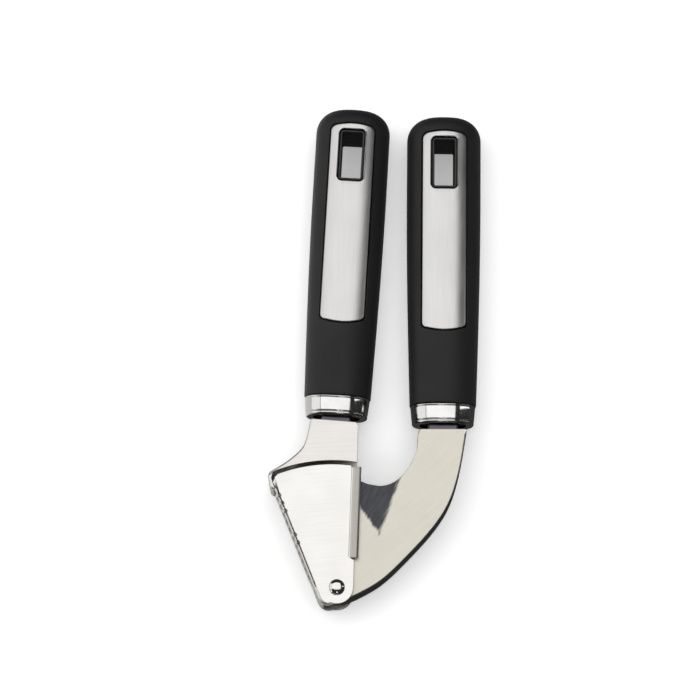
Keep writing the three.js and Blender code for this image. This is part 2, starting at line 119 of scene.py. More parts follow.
spot = add(tree, "ShaderNodeSeparateXYZ", {0: place.outputs["Object"]})
beside = add(tree, "ShaderNodeVectorMath", {
    0: place.outputs["Object"], 1: CARD_FACING}, operation="DOT_PRODUCT")
nose_card = add(tree, "ShaderNodeMapRange", {
    "Value": beside.outputs["Value"], "From Min": CARD_FROM, "From Max": CARD_FULL})
left = add(tree, "ShaderNodeMath", {
    0: spot.outputs["X"], 1: LEFT_OF_HANDLES, 2: HANDLE_CARD_HALF}, operation="COMPARE")
high = add(tree, "ShaderNodeMath", {
    0: spot.outputs["Y"], 1: HANDLE_CARD_LOW}, operation="GREATER_THAN")
painted_handle_card = add(tree, "ShaderNodeMath", {0: left.outputs[0], 1: high.outputs[0]}, operation="MULTIPLY")
painted_cards = add(tree, "ShaderNodeMath", {
    0: nose_card.outputs[0], 1: painted_handle_card.outputs[0]}, operation="MAXIMUM")
mirror_tone = add(tree, "ShaderNodeMapRange", {
    "Value": painted_cards.outputs[0], "To Min": MIRRORED_BOARD, "To Max": MIRRORED_CARD})
# Painted reflection: glossy rays see this emission of painted boards and cards in place of the lit floor.
mirrored_floor = add(tree, "ShaderNodeEmission", {
    "Color": linear("#f2f1ef"), "Strength": mirror_tone.outputs[0]})
paint = add(tree, "ShaderNodeBsdfDiffuse", {"Color": linear("#f4f4f3")})
glow = add(tree, "ShaderNodeEmission", {"Color": linear("#ffffff"), "Strength": 0.3})
pale = add(tree, "ShaderNodeAddShader", {0: paint.outputs[0], 1: glow.outputs[0]})
rays = add(tree, "ShaderNodeLightPath")
both = add(tree, "ShaderNodeMixShader", {
    0: rays.outputs["Is Glossy Ray"], 1: pale.outputs[0], 2: mirrored_floor.outputs[0]})
add(tree, "ShaderNodeOutputMaterial", {"Surface": both.outputs[0]})
floor.data.materials.append(floor_paint)


# The light is one broad softbox above and to the left, a weak card on the left, a small card at
# the nose, a thin strip on the right and a bare lamp in front. A ceiling fill lights the floor and
# isn't mirrored by the steel.
def softbox(name, place, aim, size, radiance, mirrored=True):
    light = bpy.data.lights.new(name, "AREA")
    light.shape = "RECTANGLE"
    light.size, light.size_y = size
    light.energy = radiance * math.pi * size[0] * size[1]
    lamp = bpy.data.objects.new(name, light)
    lamp.location = place
    lamp.rotation_euler = (Vector(place) - Vector(aim)).to_track_quat("Z", "Y").to_euler()
    lamp.visible_glossy = mirrored
    lamp.visible_camera = False
    bpy.context.scene.collection.objects.link(lamp)


softbox("main_softbox", (-0.26, 0.36, 1.6), (-0.26, 0.36, 0), (1.94, 1.25), 1.2)
softbox("left_card", (-1.5, 0.2, 0.75), (0, 0.1, 0), (1.6, 1.5), 1.0)
softbox("right_strip", (1.1, 0.15, 0.5), (0, 0, 0), (0.1, 1.2), 1.4)
softbox("front_lamp", (0.02, -0.95, 1.0), (0, 0, 0), (0.2, 0.2), 4)
softbox("nose_card", (-1.1, -0.75, 0.35), (0, 0, 0), (0.35, 0.5), 1.6)
softbox("ceiling_fill", (0.2, 0.1, 2.4), (0, 0, 0), (4.5, 4.5), 0.95, mirrored=False)
world = bpy.data.worlds.new("studio")
bpy.context.scene.world = world
world.use_nodes = True
tree = world.node_tree
rays = add(tree, "ShaderNodeLightPath")
strength = add(tree, "ShaderNodeMapRange", {
    "Value": rays.outputs["Is Glossy Ray"], "To Min": 0.42, "To Max": 0.1})
tree.links.new(strength.outputs[0], tree.nodes["Background"].inputs["Strength"])
tree.nodes["Background"].inputs["Color"].default_value = linear("#8a8b8e")

# ---- The sheet-steel head -------------------------------------------------------------------
# Every head piece is laid out in millimetres from the rivet's axis, half way through the depth.
# The sieve wall is a straight line in plan: its points are `up` it and `out` from its outer face.
pivot = Vector(frame["joints"][0]["pos_m"])
HEAD = Matrix.Translation(pivot) @ Matrix.Scale(MM, 4)
SIEVE_DISTANCE = 7.26
SIEVE_FACING = -158.3
outward = Vector((math.cos(math.radians(SIEVE_FACING)), math.sin(math.radians(SIEVE_FACING))))
along = Vector((outward.y, -outward.x))


def sieve_point(up, out):
    return tuple(outward * (SIEVE_DISTANCE + out) + along * up)


def arc(centre, radius, start, end, steps=12):
    turns = [math.radians(start + (end - start) * i / steps) for i in range(steps + 1)]
    return [(centre[0] + radius * math.cos(t), centre[1] + radius * math.sin(t)) for t in turns]


def curve(points, steps=6):
    """A smooth line through plan points."""
    ends = [points[0], *points, points[-1]]
    made = []
    for before, start, end, after in zip(ends, ends[1:], ends[2:], ends[3:]):
        for i in range(steps):
            t = i / steps
            made.append(tuple(
                s + t * (e - b) / 2 + t * t * (b - 2.5 * s + 2 * e - a / 2)
                + t ** 3 * (1.5 * (s - e) + (a - b) / 2)
                for b, s, e, a in zip(before, start, end, after)))
    return made + [tuple(points[-1])]


def slab(outline, low, high, fold=0, folded=()):
    """A plan outline as a solid from low to high. The stretch of outline from corner folded[0] to
    corner folded[1] is where the sheet is bent, and gets the fold's radius on its outer faces."""
    bm = bmesh.new()
    face = bm.faces.new([bm.verts.new((x, y, low)) for x, y in outline])
    face.normal_update()
    bmesh.ops.extrude_face_region(bm, geom=[face], use_keep_orig=True)
    bm.verts.ensure_lookup_table()
    count = len(outline)
    bmesh.ops.translate(bm, verts=bm.verts[count:], vec=(0, 0, high - low))
    bmesh.ops.recalc_face_normals(bm, faces=bm.faces)
    if fold:
        levels = (0, count) if low < 0 else (count,)
        bent = [bm.edges.get((bm.verts[level + i], bm.verts[level + (i + 1) % count]))
                for level in levels for i in range(*folded)]
        bmesh.ops.bevel(bm, geom=bent, offset=fold, segments=4, profile=0.5, affect="EDGES", material=-1)
    return bm


def post(radius, low, high, x=0, y=0, sides=40):
    bm = bmesh.new()
    bmesh.ops.create_cone(
        bm, cap_ends=True, segments=sides, radius1=radius, radius2=radius, depth=high - low)
    bmesh.ops.translate(bm, verts=bm.verts, vec=(x, y, (low + high) / 2))
    return bm


def as_object(bm, name="tool"):
    mesh = bpy.data.meshes.new(name)
    bm.to_mesh(mesh)
    bm.free()
    made = bpy.data.objects.new(name, mesh)
    bpy.context.scene.collection.objects.link(made)
    return made


def joined(bm, *steps):
    """bm after boolean steps, each a pair of "UNION", "DIFFERENCE" or "INTERSECT" and a bmesh."""
    body = as_object(bm)
    tools = []
    for operation, other in steps:
        tools.append(as_object(other))
        step = body.modifiers.new(operation, "BOOLEAN")
        step.operation = operation
        step.solver = "EXACT"
        step.object = tools[-1]
    result = bmesh.new()
    result.from_object(body, bpy.context.evaluated_depsgraph_get())
    for made in [body, *tools]:
        bpy.data.objects.remove(made)
    bmesh.ops.remove_doubles(result, verts=result.verts, dist=0.004)
    bmesh.ops.dissolve_degenerate(result, edges=result.edges, dist=0.004)
    return result


def mirrored(bm):
    """The same shape on the other side of the press's middle plane."""
    other = bm.copy()
    bmesh.ops.scale(other, vec=(1, 1, -1), verts=other.verts)
    bmesh.ops.reverse_faces(other, faces=other.faces)
    return other


def sieve_sweep(section, low, high):
    """A section of (depth, out) points, swept up the sieve wall."""
    bm = slab(section, low, high)
    place = Matrix(((0, outward.x, along.x, 0), (0, outward.y, along.y, 0), (1, 0, 0, 0), (0, 0, 0, 1)))
    bm.transform(Matrix.Translation((outward * SIEVE_DISTANCE).to_3d()) @ place)
    bmesh.ops.recalc_face_normals(bm, faces=bm.faces)
    return bm


def piece(name, bm, place, body, material, replaced, ease=0.12, sharp=35):
    """The finished piece in its place, with its cut edges eased by `ease` millimetres."""
    bm.transform(place)
    bmesh.ops.recalc_face_normals(bm, faces=bm.faces)
    made = as_object(bm, name)
    made.data.shade_smooth()
    if ease:
        edge = made.modifiers.new("eased_edges", "BEVEL")
        edge.width = ease * MM
        edge.segments = 2
        edge.limit_method = "ANGLE"
        edge.angle_limit = math.radians(sharp)
        edge.use_clamp_overlap = False
    flat = made.modifiers.new("flat_faces", "WEIGHTED_NORMAL")
    flat.weight = 100
    made.data.materials.append(material)
    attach(made, body)
    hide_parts(replaced)


# Stainless steel sheet, stamped, folded and given a satin finish with a fine belt. To the eye it
# is nearly white under a softbox, with soft reflections that run out along the grain and faint
# cloudiness from handling. Steep faces get painted shade: a darker grey standing in for the dark studio they
# mirror.
GRAIN_MM = 0.35  # the real grain is near 0.05 mm; this is the finest that shows
SCRATCH_MM = 18
SMEAR_MM = 14


def satin_steel(name, pale, fold, grain_turn, roughness, cloud=0.05, painted_reflection=None):
    made = bpy.data.materials.new(name)
    made.use_nodes = True
    tree = made.node_tree
    tree.nodes.clear()
    place = add(tree, "ShaderNodeTexCoord")
    turned = add(tree, "ShaderNodeMapping", {
        "Vector": place.outputs["Object"], "Rotation": (0, 0, math.radians(grain_turn)),
        "Scale": (SCRATCH_MM * MM, GRAIN_MM * MM, GRAIN_MM * MM)}, vector_type="TEXTURE")
    grain = add(tree, "ShaderNodeTexNoise", {"Vector": turned.outputs[0], "Scale": 1.0, "Detail": 1.0})
    smear = add(tree, "ShaderNodeTexNoise", {
        "Vector": place.outputs["Object"], "Scale": 1 / (SMEAR_MM * MM), "Detail": 2.0})
    # Painted shade: faces that turn away from straight up take the darker `fold` colour, standing in for the
    # dark studio the steel's sides mirror.
    shape = add(tree, "ShaderNodeNewGeometry")
    level = add(tree, "ShaderNodeSeparateXYZ", {0: shape.outputs["Normal"]})
    flat = add(tree, "ShaderNodeMath", {0: level.outputs["Z"]}, operation="ABSOLUTE")
    painted_shade_mix = add(tree, "ShaderNodeMapRange", {"Value": flat.outputs[0], "From Min": 0.15, "From Max": 0.8})
    tone = add(tree, "ShaderNodeMix", {
        0: painted_shade_mix.outputs[0], 6: linear(fold), 7: linear(pale)}, data_type="RGBA")
    shade = add(tree, "ShaderNodeMapRange", {
        "Value": smear.outputs[0], "From Min": 0.3, "From Max": 0.7, "To Min": 1 - cloud, "To Max": 1.0})
    streak = add(tree, "ShaderNodeMapRange", {
        "Value": grain.outputs[0], "From Min": 0.3, "From Max": 0.7, "To Min": 0.94, "To Max": 1.0})
    worn = add(tree, "ShaderNodeMath", {0: shade.outputs[0], 1: streak.outputs[0]}, operation="MULTIPLY")
    colour = add(tree, "ShaderNodeVectorMath", {
        0: tone.outputs[2], "Scale": worn.outputs[0]}, operation="SCALE")
    base = colour.outputs[0]
    # A painted reflection, where one is given, is mixed into the colour.
    if painted_reflection:
        base = painted_reflection(tree, place, base)
    rough = add(tree, "ShaderNodeMapRange", {
        "Value": smear.outputs[0], "From Min": 0.3, "From Max": 0.7,
        "To Min": roughness - 0.02, "To Max": roughness + 0.04})
    lines = add(tree, "ShaderNodeBump", {"Height": grain.outputs[0], "Strength": 0.1, "Distance": 0.02 * MM})
    metal = add(tree, "ShaderNodeBsdfPrincipled", {
        "Base Color": base, "Metallic": 1.0, "Roughness": rough.outputs[0], "Normal": lines.outputs[0]})
    add(tree, "ShaderNodeOutputMaterial", {"Surface": metal.outputs[0]})
    return made


def painted_flare_reflection(tree, place, base):
    """The flared lips are painted a flat grey, a painted reflection standing in for the tone their slope
    mirrors.
    """
    root = pivot + Vector((4.65, 11.4, 0)) * MM
    moved = add(tree, "ShaderNodeVectorMath", {0: place.outputs["Object"], 1: root}, operation="SUBTRACT")
    beyond = add(tree, "ShaderNodeVectorMath", {
        0: moved.outputs[0], 1: (0.9993, -0.0366, 0)}, operation="DOT_PRODUCT")
    above = add(tree, "ShaderNodeSeparateXYZ", {0: moved.outputs[0]})
    across = add(tree, "ShaderNodeMapRange", {"Value": beyond.outputs["Value"], "From Max": 0.3 * MM})
    up = add(tree, "ShaderNodeMapRange", {
        "Value": above.outputs["Y"], "From Min": -0.3 * MM, "From Max": 0.0})
    both = add(tree, "ShaderNodeMath", {0: across.outputs[0], 1: up.outputs[0]}, operation="MULTIPLY")
    # Painted reflection: flat grey over the lips.
    painted_grey = add(tree, "ShaderNodeMix", {
        0: both.outputs[0], 6: base, 7: linear("#b9b5af")}, data_type="RGBA")
    return painted_grey.outputs[2]


# Each satin steel's second colour is the painted shade of its steep faces.
hopper_steel = satin_steel("satin_stainless_hopper", "#f4f2ee", "#b9b8b6", 5, 0.3, 0.02, painted_flare_reflection)

# Swing-out hopper: one stainless sheet, 1.2 mm thick, folded round the bulged sieve wall. Two
# side plates end in lugs on the rivet and in lips that flare out to lead the press arm in.
HOPPER_DEPTH = 10.4
HOPPER_SHEET = 1.2
HOPPER_LUG = 6.3
HOPPER_FOLD = 0.3
MOUTH = (-1.84, -11.7)
HOPPER_MOUTH = 59.4
END_WALL = 47.2
BULGE_HEIGHT = 1.5
BULGE_HALF = 6.6
HOLE_RADIUS = 1.0
HOLE_PITCH = 3.3
HOLE_FIRST, HOLES_UP = 8.3, 11
BEND_HOLE = 0.75
BORE = 2.8


def bulge_height(depth, up):
    across = max(0, 1 - (depth / BULGE_HALF) ** 2)
    ends = min(1, max(0, up - 5.4) / 2.2, max(0, 44.2 - up) / 2.2)
    return BULGE_HEIGHT * across * math.sin(ends * math.pi / 2)


def bend(start, corner, end, steps=6):
    """A rounded corner between two plan points."""
    made = []
    for i in range(steps + 1):
        t = i / steps
        made.append(tuple(
            (1 - t) ** 2 * a + 2 * t * (1 - t) * b + t * t * c for a, b, c in zip(start, corner, end)))
    return made


lug_start = arc((0, 0), HOPPER_LUG, -112, -112, 1)[0]
foot = bend(sieve_point(-1.2, 0), sieve_point(-4.6, -0.1), lug_start)
plate_outline = (
    [sieve_point(48.4, -0.6), sieve_point(41, 0)] + foot[:-1] + arc((0, 0), HOPPER_LUG, -112, 0, 18)
    + [(6.6, 10.3), (5.1, 11.4), (4.5, 11.9), (5.7, 46.9)] + arc(MOUTH, HOPPER_MOUTH, 83.2, 111.9, 24)[:-1])
plate = slab(plate_outline, HOPPER_DEPTH - HOPPER_SHEET, HOPPER_DEPTH, HOPPER_FOLD, (0, 6))

wall = bmesh.new()
bmesh.ops.create_grid(wall, x_segments=28, y_segments=60, size=0.5)
for corner in wall.verts:
    depth = corner.co.x * 2 * (HOPPER_DEPTH - 0.8)
    up = 25.3 + corner.co.y * 42.6
    x, y = sieve_point(up, bulge_height(depth, up) - 0.1)
    corner.co = (x, y, depth)
bmesh.ops.solidify(wall, geom=wall.faces[:], thickness=-HOPPER_SHEET)
bmesh.ops.recalc_face_normals(wall, faces=wall.faces)

end_outline = arc((0, 0), END_WALL, 82.6, 119.4, 16) + arc((0, 0), END_WALL - 1.1, 119.4, 82.6, 16)
end_wall = slab(end_outline, -HOPPER_DEPTH + 0.9, HOPPER_DEPTH - 0.9)

LIP_LENGTH = 35.2
LIP_LEAN = -2.1
lip_flare = curve([(0.1, 10.4), (1.0, 10.55), (2.0, 10.95), (2.75, 11.5), (2.95, 11.75)], 3)
lip_under = curve([(3.7, 10.95), (3.0, 10.3), (2.2, 9.75), (1.2, 9.4), (0.2, 9.2)], 3)
lip_section = [(-0.7, 10.3)] + lip_flare + lip_under + [(-0.7, 9.3)]
lip = slab(lip_section, 0, LIP_LENGTH)
lip.transform(Matrix.Translation((4.5, 11.4, 0)) @ Matrix.Rotation(math.radians(LIP_LEAN), 4, "Z")
              @ Matrix(((1, 0, 0, 0), (0, 0, 1, 0), (0, 1, 0, 0), (0, 0, 0, 1))))
bmesh.ops.recalc_face_normals(lip, faces=lip.faces)

holes = bmesh.new()
hole_rows = [(depth, 0, 0, HOLE_RADIUS) for depth in (-4.95, -1.65, 1.65, 4.95)]
hole_rows += [(HOPPER_DEPTH - 0.3, -0.3, 1, BEND_HOLE), (0.3 - HOPPER_DEPTH, -0.3, -1, BEND_HOLE)]
for row in range(HOLES_UP):
    for depth, out, rise, radius in hole_rows:
        x, y = sieve_point(HOLE_FIRST + row * HOLE_PITCH, out)
        drill = 4 if rise else 8
        made = bmesh.ops.create_cone(
            holes, cap_ends=True, segments=16, radius1=radius, radius2=radius, depth=drill)["verts"]
        turn = Vector((*outward, rise)).to_track_quat("Z", "Y").to_matrix().to_4x4()
        bmesh.ops.transform(holes, matrix=Matrix.Translation((x, y, depth)) @ turn, verts=made)

hopper = joined(
    plate, ("UNION", mirrored(plate)), ("UNION", wall), ("UNION", end_wall),
    ("UNION", mirrored(lip)), ("UNION", lip), ("DIFFERENCE", holes), ("DIFFERENCE", post(BORE, -15, 15)))
piece("hopper_folded_sheet", hopper, HEAD, "hopper", hopper_steel, "swing_out_hopper")

# Cradle lever: 1.4 mm stainless sheet folded to a channel. It carries the left handle's tang,
# flares round the hopper's corner, runs down as two rails beside the sieve's window and closes
# in a rounded knuckle under the rivet.
cradle_steel = satin_steel("satin_stainless_cradle", "#e6e2dd", "#b3b2b0", 2, 0.28, 0.03)
CRADLE_DEPTH = 8.9
CRADLE_SHEET = 1.4
CRADLE_LUG = 6.2
CRADLE_FOLD = 0.8
CRADLE_MOUTH = 61.2
KNUCKLE = (-3.2, -2.4)
KNUCKLE_RADIUS = 4.4
LUG_WEB_END = -118
flare = curve([
    (-10.2, 65.9), (-11, 62), (-12, 57.8), (-13.7, 54.3), (-17.2, 50.9), (-21.2, 48), (-26.1, 45.2)])
hook = [sieve_point(50.1, 1.5), sieve_point(45.9, 2.3), sieve_point(44.9, 1.9), sieve_point(44.2, 1)]
knuckle = arc(KNUCKLE, KNUCKLE_RADIUS, SIEVE_FACING, -85, 12)
neck_edge = [(7.69, 44), (8.2, 63.2), (7.4, 64.5)]
cradle_outline = flare + hook + knuckle + arc((0, 0), CRADLE_LUG, -52, -10, 8) + neck_edge
bent_edges = (0, len(flare) + len(hook) + len(knuckle) - 1)
inner = CRADLE_DEPTH - CRADLE_SHEET
bay = [sieve_point(*spot) for spot in ((3.4, -1.2), (3.4, 0.2), (44.6, 0.2), (45, 0.7), (49, 0.5))]
bay += arc(MOUTH, CRADLE_MOUTH, 111.9, 80.9, 24) + [(30, 47), (30, -12)]
bay += arc((0, 0), CRADLE_LUG, -30, 168, 36)
neck_hollow = curve([(-8, 70), (-9.6, 61.8), (-10.7, 57.3), (-12.6, 53.5), (-16.3, 49.8), (-18.8, 48.2)])
neck_hollow += [(-17, 44), (14, 44), (14, 70)]
web_in = CRADLE_SHEET - 1
lug_hollow = [sieve_point(8, -web_in), sieve_point(0, -web_in)]
lug_hollow += arc(KNUCKLE, KNUCKLE_RADIUS - CRADLE_SHEET, SIEVE_FACING, LUG_WEB_END, 8)
lug_hollow += arc(KNUCKLE, 9, LUG_WEB_END, LUG_WEB_END, 1)[:1] + [(14, -14), (14, 14)]
window = [(-6.9, -2), (6.9, -2), (6.9, 4), (-6.9, 4)]
turned_down = bmesh.new()  # the flare's corner is pressed down in a sloping facet, on both sides
for corner in (
        (-15.2, 52.6, 8.9), (-16.6, 54.7, 8.9), (-16.6, 54.7, 12), (-15.2, 52.6, 12),
        (-26.1, 45.2, 7.6), (-25.4, 44.1, 8.9), (-25.4, 44.1, 12), (-28.6, 48.3, 7.6),
        (-28.6, 48.3, 12), (-30.4, 40.9, 12), (-31.1, 42, 7.4), (-30.4, 40.9, 9.1)):
    turned_down.verts.new(corner)
bmesh.ops.convex_hull(turned_down, input=turned_down.verts[:])
cradle = joined(
    slab(cradle_outline, -CRADLE_DEPTH, CRADLE_DEPTH, CRADLE_FOLD, bent_edges),
    ("DIFFERENCE", slab(bay, -15, 15)), ("DIFFERENCE", slab(neck_hollow, -inner, inner)),
    ("DIFFERENCE", slab(lug_hollow, -inner, inner)), ("DIFFERENCE", sieve_sweep(window, 3.6, 44.6)),
    ("DIFFERENCE", mirrored(turned_down)), ("DIFFERENCE", turned_down),
    ("DIFFERENCE", post(BORE, -15, 15)))
piece("cradle_folded_sheet", cradle, HEAD, "cradle", cradle_steel, "cradle_lever")


# Press arm: 1.3 mm stainless sheet folded to a channel that is open towards the hopper. It
# curves from the rivet to the right handle, and carries the plunger between its cheeks.
def painted_lip_reflection(tree, place, base):
    """A painted reflection: the satin cheek is painted with the dark gap under the hopper's lip, in a soft V
    beside it.
    """
    tip = pivot + Vector((16.2, 21.2, 0)) * MM
    moved = add(tree, "ShaderNodeVectorMath", {0: place.outputs["Object"], 1: tip}, operation="SUBTRACT")
    right = add(tree, "ShaderNodeVectorMath", {
        0: moved.outputs[0], 1: (0.934, -0.356, 0)}, operation="DOT_PRODUCT")
    left = add(tree, "ShaderNodeVectorMath", {
        0: moved.outputs[0], 1: (-0.803, -0.598, 0)}, operation="DOT_PRODUCT")
    wedge = add(tree, "ShaderNodeMath", {
        0: right.outputs["Value"], 1: left.outputs["Value"], 2: 1.2 * MM}, operation="SMOOTH_MAX")
    brushed = add(tree, "ShaderNodeMapping", {
        "Vector": place.outputs["Object"], "Rotation": (0, 0, math.radians(62)),
        "Scale": (7 * MM, 1.3 * MM, 1.3 * MM)}, vector_type="TEXTURE")
    wobble = add(tree, "ShaderNodeTexNoise", {"Vector": brushed.outputs[0], "Scale": 1.0, "Detail": 2.0})
    ragged = add(tree, "ShaderNodeMath", {
        0: wobble.outputs[0], 1: 3.2 * MM, 2: wedge.outputs[0]}, operation="MULTIPLY_ADD")
    share = add(tree, "ShaderNodeMapRange", {
        "Value": ragged.outputs[0], "From Min": 0.9 * MM, "From Max": 2.3 * MM},
        interpolation_type="SMOOTHSTEP")
    # Painted reflection: the tone of the mirrored dark gap.
    dark = add(tree, "ShaderNodeMix", {
        0: wobble.outputs[0], 6: linear("#3a383c"), 7: linear("#56585c")}, data_type="RGBA")
    mixed = add(tree, "ShaderNodeMix", {
        0: share.outputs[0], 6: dark.outputs[2], 7: base}, data_type="RGBA")
    return mixed.outputs[2]


arm_steel = satin_steel("satin_stainless_arm", "#dfdace", "#7b7a78", 40, 0.3, 0.12, painted_lip_reflection)
ARM_DEPTH = 7.2
ARM_SHEET = 1.3
ARM_BOSS = 5.6
ARM_FOLD = 0.8
CHEEK_BACK = -5
back_low = math.sqrt(ARM_BOSS ** 2 - (SIEVE_DISTANCE + CHEEK_BACK) ** 2)
back_x, back_y = sieve_point(back_low, CHEEK_BACK)
boss = arc((0, 0), ARM_BOSS, math.degrees(math.atan2(back_y, back_x)) % 360, 292, 20)
outer_edge = curve([
    boss[-1], (9.1, -2.05), (16.8, 2.5), (24.5, 9.4), (36.2, 22), (43.2, 32.5), (47.4, 45), (50.3, 61.2)], 8)
shoulder = bend((50.3, 61.2), (50.4, 62.1), (49.5, 62.1))[1:] + bend((33, 62.1), (31.6, 62.1), (31.5, 60.5))
inner_edge = curve([
    (31.5, 60.5), (30.9, 54), (28.7, 48.7), (25.9, 44.5), (21.9, 41.2), (17.2, 39.8), (11.9, 40.5)], 8)[1:]
arm_outline = boss[:-1] + outer_edge + shoulder + inner_edge + [(3, 44.2), sieve_point(44.6, CHEEK_BACK)]
first_bend = len(boss) - 1
arm_hollow = [(-9, -9), (1.6, -9), (2.6, -3.85)]
arm_hollow += curve([
    (2.6, -3.85), (8.6, -0.85), (16, 3.6), (23.5, 10.3), (35.1, 22.7), (42, 33), (46.1, 45.3),
    (49, 61.4)], 8)[1:]
arm_hollow += [(49.6, 70), (-30, 70), (-30, -9)]
inner = ARM_DEPTH - ARM_SHEET
pin_holes = [post(1.8, -15, 15, *sieve_point(up, -8)) for up in (17, 35)]
arm = joined(
    slab(arm_outline, -ARM_DEPTH, ARM_DEPTH, ARM_FOLD, (first_bend, first_bend + len(outer_edge) - 1)),
    ("DIFFERENCE", slab(arm_hollow, -inner, inner)), ("DIFFERENCE", post(BORE, -15, 15)),
    *[("DIFFERENCE", hole) for hole in pin_holes])
piece("arm_folded_sheet", arm, HEAD, "arm", arm_steel, "press_arm")

# Pivot rivet: a polished stainless rivet with two domed heads. It holds the cradle's lugs, the
# hopper's lugs and the arm's cheeks on one axis.
def polished_steel(name, pale, roughness):
    """Stainless steel buffed to a mirror, with the faint haze and hairlines that handling leaves."""
    made = bpy.data.materials.new(name)
    made.use_nodes = True
    tree = made.node_tree
    tree.nodes.clear()
    place = add(tree, "ShaderNodeTexCoord")
    haze = add(tree, "ShaderNodeTexNoise", {
        "Vector": place.outputs["Object"], "Scale": 1 / (4 * MM), "Detail": 3.0})
    wipe = add(tree, "ShaderNodeMapping", {
        "Vector": place.outputs["Object"], "Rotation": (0, 0.4, 0.7),
        "Scale": (9 * MM, 0.3 * MM, 0.3 * MM)}, vector_type="TEXTURE")
    hairs = add(tree, "ShaderNodeTexNoise", {"Vector": wipe.outputs[0], "Scale": 1.0, "Detail": 2.0})
    dull = add(tree, "ShaderNodeMapRange", {
        "Value": haze.outputs[0], "From Min": 0.35, "From Max": 0.7,
        "To Min": roughness, "To Max": roughness + 0.07})
    tone = add(tree, "ShaderNodeMix", {
        0: haze.outputs[0], 6: linear(pale), 7: linear("#d6d5d3")}, data_type="RGBA")
    lines = add(tree, "ShaderNodeBump", {
        "Height": hairs.outputs[0], "Strength": 0.05, "Distance": 0.01 * MM})
    metal = add(tree, "ShaderNodeBsdfPrincipled", {
        "Base Color": tone.outputs[2], "Metallic": 1.0, "Roughness": dull.outputs[0],
        "Normal": lines.outputs[0]})
    add(tree, "ShaderNodeOutputMaterial", {"Surface": metal.outputs[0]})
    return made


mirror_steel = polished_steel("buffed_stainless", "#e9e8e6", 0.07)
RIVET_SHANK = 2.5
RIVET_HEAD = 3.1
HEAD_SEAT = 10.7
dome = [(0, 12), (0.7, 11.985), (1.4, 11.92), (2.0, 11.78), (2.5, 11.53), (2.85, 11.18), (3.02, 10.9)]
dome += [(RIVET_HEAD, HEAD_SEAT)]
profile = dome + [(RIVET_SHANK, HEAD_SEAT), (RIVET_SHANK, -HEAD_SEAT)] + [(r, -z) for r, z in reversed(dome)]
rivet = bmesh.new()
line = [rivet.verts.new((r, 0, z)) for r, z in profile]
side = [rivet.edges.new(pair) for pair in zip(line, line[1:])]
bmesh.ops.spin(
    rivet, geom=line + side, axis=(0, 0, 1), cent=(0, 0, 0), steps=48, angle=math.tau, use_merge=True)
bmesh.ops.remove_doubles(rivet, verts=rivet.verts, dist=0.001)
piece("domed_rivet", rivet, HEAD, "cradle", mirror_steel, "pivot_rivet", 0.08, 50)

# Plunger, its two cross pins and the spacer tube: plain machined steel inside the arm's channel.
# They show only when the press is open.
plain_steel = satin_steel("machined_steel", "#a9a8a6", "#7c7b7a", 12, 0.36, 0.1)


def eased_copy(node, name, body, ease):
    """The CAD solid with its faces made whole and its edges eased."""
    bm = bmesh.new()
    bm.from_mesh(frame["nodes"][node].data)
    bmesh.ops.remove_doubles(bm, verts=bm.verts, dist=0.002 * MM)
    bmesh.ops.dissolve_limit(bm, angle_limit=math.radians(1), verts=bm.verts, edges=bm.edges)
    piece(name, bm, Matrix.Identity(4), body, plain_steel, node, ease, 30)


eased_copy("plunger", "plunger_block", "arm", 0.35)
eased_copy("upper_plunger_pin", "upper_cross_pin", "arm", 0.2)
eased_copy("lower_plunger_pin", "lower_cross_pin", "arm", 0.2)
eased_copy("pivot_spacer", "spacer_tube", "arm", 0.2)

# ---- The two handles ----------------------------------------------------------------------
# Each handle is laid out in millimetres from the middle of its ferrule's lower rim, with +Y up
# the handle. The tang's middle and the hang hole's middle give the line it lies on.
TANG_MIDDLE = 32
EYE_MIDDLE = 102.8
BODY = {"left": "cradle", "right": "arm"}
PLACE = {}
for side in BODY:
    tang_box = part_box(side + "_tang")
    eye_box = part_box(side + "_hang_eyelet")
    tang_middle = (tang_box[0] + tang_box[1]) / 2
    up_handle = ((eye_box[0] + eye_box[1]) / 2 - tang_middle).normalized()
    start = tang_middle - up_handle * TANG_MIDDLE * MM
    lean = math.atan2(-up_handle.x, up_handle.y)
    PLACE[side] = Matrix.Translation(start) @ Matrix.Rotation(lean, 4, "Z") @ Matrix.Scale(MM, 4)

# Soft-touch sleeves: matt black rubber moulded over each core, swelling from the ferrule to a
# rounded end, with a window on each face for a steel inlay.
FULLNESS = 2.5
GRIP_LOW = 6.9
GRIP_HIGH = 122.4
NECK_WIDTH, FULL_WIDTH = 13.0, 14.6
NECK_THICK, FULL_THICK = 10.3, 11.4
FULL_AT = 92
END_WIDTH, END_THICK = 8.5, 5.0
SLEEVE_WALL = 2.2
SEAT = 8.6


def loft(stations, ring=False, sides=96):
    """A body of oval sections: each station is a height, a half width and a half thickness."""
    bm = bmesh.new()
    bmesh.ops.create_circle(bm, cap_ends=not ring, segments=sides, radius=1)
    first = rim = bm.edges[:]
    for level in range(1, len(stations)):
        grown = bmesh.ops.extrude_edge_only(bm, edges=rim)["geom"]
        moved = {g for g in grown if isinstance(g, bmesh.types.BMVert)}
        bmesh.ops.translate(bm, verts=list(moved), vec=(0, 0, 1))
        rim = [e for v in moved for e in v.link_edges if all(o in moved for o in e.verts)]
        rim = list(dict.fromkeys(rim))
    if ring:
        bmesh.ops.bridge_loops(bm, edges=first + rim)
    else:
        bmesh.ops.holes_fill(bm, edges=rim)
    for v in bm.verts:
        height, width, thick = stations[round(v.co.z)]
        turn = math.atan2(v.co.y, v.co.x)
        across, deep = math.cos(turn), math.sin(turn)
        v.co = (width * math.copysign(abs(across) ** (2 / FULLNESS), across), height,
                thick * math.copysign(abs(deep) ** (2 / FULLNESS), deep))
    bmesh.ops.recalc_face_normals(bm, faces=bm.faces)
    return bm


